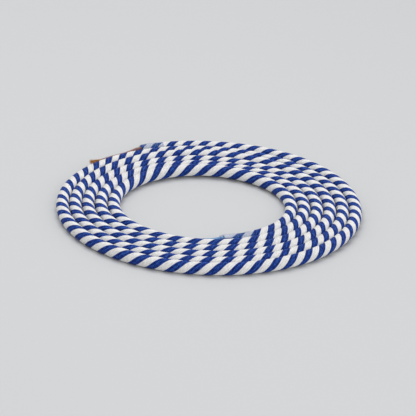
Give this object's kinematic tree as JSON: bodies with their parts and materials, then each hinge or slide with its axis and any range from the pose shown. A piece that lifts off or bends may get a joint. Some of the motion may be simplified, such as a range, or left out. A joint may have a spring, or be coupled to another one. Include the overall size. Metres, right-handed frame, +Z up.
{
  "type": "textile cable coil",
  "caption": "Flat spiral coil of round textile-covered mains flex with helical stripes, a clear film band at each cut end, and bared, insulated cores.",
  "frame": {"origin": "middle of the coil's outline, on the surface that it lies on", "axes": "+Z up out of the flat coil; the inner end lies towards -Y, and the flex winds outwards counter-clockwise seen from above"},
  "size_m": [0.1475, 0.1487, 0.0061],
  "materials": {
    "yarn_cover": "matt yarn, white with two helical blue stripes",
    "sheath_pvc": "matt extruded",
    "brown_pvc": "satin extruded",
    "blue_pvc": "satin extruded",
    "copper": "bright drawn copper wire",
    "clear_film": "clear shrunk film"
  },
  "bodies": {
    "root": {"textile_cover": "yarn_cover", "inner_sheath": "sheath_pvc", "blue_core_insulation": "blue_pvc", "brown_core_insulation": "brown_pvc", "blue_core_conductor": "copper", "brown_core_conductor": "copper", "inner_end_film": "clear_film", "outer_end_film": "clear_film"}
  },
  "joints": []
}
